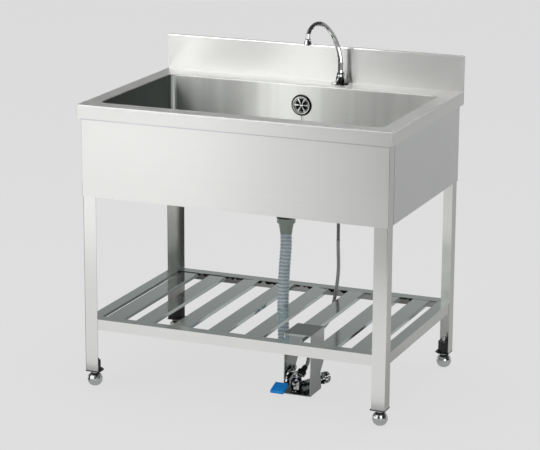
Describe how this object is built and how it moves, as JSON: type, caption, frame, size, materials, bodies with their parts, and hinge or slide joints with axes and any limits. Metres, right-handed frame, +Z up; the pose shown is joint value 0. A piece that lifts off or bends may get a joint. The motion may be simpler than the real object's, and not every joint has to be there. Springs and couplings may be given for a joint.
{
  "type": "sink unit",
  "caption": "Free-standing stainless steel sink unit with one deep basin, upstand, gooseneck tap worked by a foot pedal, slatted undershelf and adjustable ball feet",
  "frame": {"origin": "on the floor, under the middle of the unit's width and depth", "axes": "+X to the right along the front, +Y from the front to the back, +Z up"},
  "size_m": [0.9, 0.6, 0.9903],
  "materials": {
    "panel_steel": "satin stainless sheet, lightly brushed",
    "shelf_steel": "stainless sheet, polished nearly to a mirror",
    "chrome": "bright chrome plating",
    "black_plastic": "moulded black plastic",
    "cuff_plastic": "grey-green moulded plastic",
    "hose_plastic": "blue-grey flexible plastic",
    "blue_plastic": "blue moulded plastic",
    "rubber": "black rubber",
    "braid": "hose braided in fine stainless wire",
    "black_steel": "black enamelled metal"
  },
  "bodies": {
    "unit": {"sink_top": "panel_steel", "basin": "panel_steel", "front_apron": "panel_steel", "left_side_panel": "panel_steel", "right_side_panel": "panel_steel", "rear_panel": "panel_steel", "front_left_leg": "panel_steel", "front_right_leg": "panel_steel", "rear_left_leg": "panel_steel", "rear_right_leg": "panel_steel", "pedal_bracket": "panel_steel", "front_rail": "shelf_steel", "right_rail": "shelf_steel", "rear_rail": "shelf_steel", "left_rail": "shelf_steel", "slat_1": "shelf_steel", "slat_2": "shelf_steel", "slat_3": "shelf_steel", "slat_4": "shelf_steel", "slat_5": "shelf_steel", "slat_6": "shelf_steel", "slat_7": "shelf_steel", "slat_8": "shelf_steel", "drain_strainer": "chrome", "overflow_grille": "chrome", "overflow_screw": "chrome", "plug_chain": "chrome", "tap_base": "chrome", "tap_nut": "chrome", "deck_lock_nut": "chrome", "valve_body": "chrome", "gland_nut": "chrome", "inlet_cap": "chrome", "pedal_pin": "chrome", "front_left_socket": "black_plastic", "front_right_socket": "black_plastic", "rear_left_socket": "black_plastic", "rear_right_socket": "black_plastic", "drain_lock_nut": "black_plastic", "drain_tee": "black_plastic", "overflow_elbow": "black_plastic", "drain_hose_nut": "cuff_plastic", "hose_cuff": "cuff_plastic", "supply_pipe": "cuff_plastic", "drain_hose": "hose_plastic", "overflow_pipe": "hose_plastic", "drain_gasket": "rubber", "basin_plug": "rubber", "supply_hose": "braid", "outlet_nut": "black_steel", "supply_union": "black_steel"},
    "spout": {"spout": "chrome", "aerator": "chrome"},
    "pedal": {"pedal_lever": "black_steel", "pedal_pad": "blue_plastic"},
    "spindle": {"valve_spindle": "chrome"},
    "front_left_foot": {"front_left_foot": "chrome"},
    "front_right_foot": {"front_right_foot": "chrome"},
    "rear_left_foot": {"rear_left_foot": "chrome"},
    "rear_right_foot": {"rear_right_foot": "chrome"}
  },
  "joints": [
    {"name": "spout_swivel", "type": "hinge", "parent": "unit", "child": "spout", "pos_m": [0.098, 0.258, 0.816], "axis": [0, 0, 1], "range_deg": [-70, 110]},
    {"name": "pedal_hinge", "type": "hinge", "parent": "unit", "child": "pedal", "pos_m": [0.1246, -0.14, 0.0835], "axis": [1, 0, 0], "range_deg": [0, 9], "stiffness_Nm_per_rad": 6, "springref_deg": -5.73},
    {"name": "spindle_slide", "type": "slide", "parent": "unit", "child": "spindle", "axis": [0, 0, -1], "range_m": [0, 0.0058]},
    {"name": "front_left_foot_screw", "type": "slide", "parent": "unit", "child": "front_left_foot", "axis": [0, 0, -1], "range_m": [0, 0.018]},
    {"name": "front_right_foot_screw", "type": "slide", "parent": "unit", "child": "front_right_foot", "axis": [0, 0, -1], "range_m": [0, 0.018]},
    {"name": "rear_left_foot_screw", "type": "slide", "parent": "unit", "child": "rear_left_foot", "axis": [0, 0, -1], "range_m": [0, 0.018]},
    {"name": "rear_right_foot_screw", "type": "slide", "parent": "unit", "child": "rear_right_foot", "axis": [0, 0, -1], "range_m": [0, 0.018]}
  ],
  "couplings": [
    {"joint": "spindle_slide", "follows": "pedal_hinge", "m_per_rad": 0.035}
  ]
}
